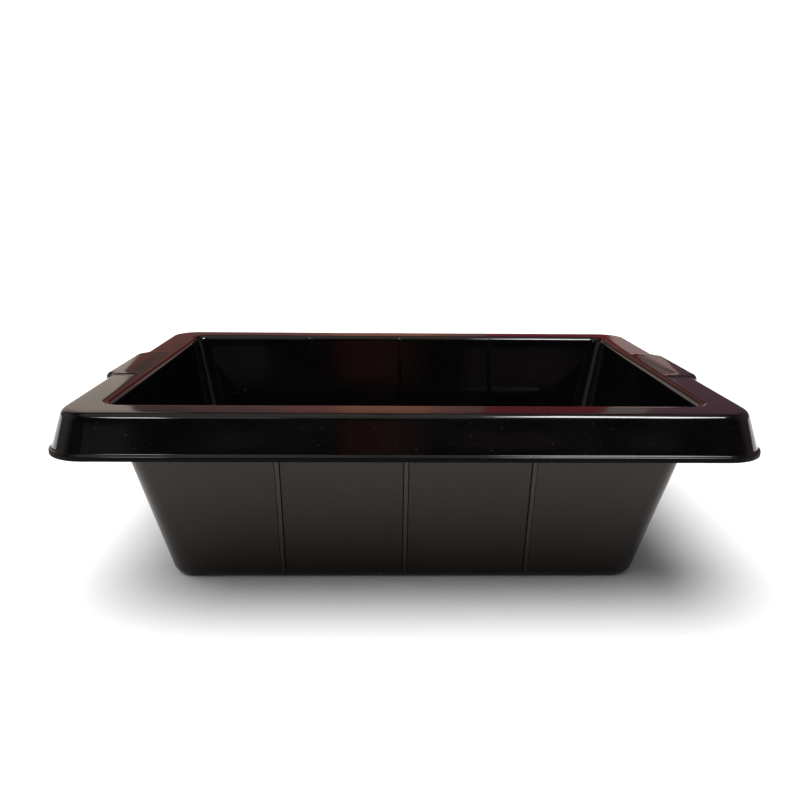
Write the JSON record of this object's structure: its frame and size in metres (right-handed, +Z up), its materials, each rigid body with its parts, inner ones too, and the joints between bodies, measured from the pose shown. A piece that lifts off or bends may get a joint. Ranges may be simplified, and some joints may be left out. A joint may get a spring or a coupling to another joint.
{
  "type": "mortar mixing tub",
  "caption": "Rectangular vacuum-formed trough with tapered ribbed walls, a wide flat rim with a turned-down skirt and lip, and a raised grip in each short rim.",
  "frame": {"origin": "centre of the underside, on the surface that the tub stands on", "axes": "+X along the long side, +Y along the short side, +Z up out of the opening"},
  "size_m": [0.65, 0.469, 0.1942],
  "materials": {
    "black_plastic": "glossy on the upper side of the sheet, satin on the under side"
  },
  "bodies": {
    "root": {"tub_shell": "black_plastic"}
  },
  "joints": []
}
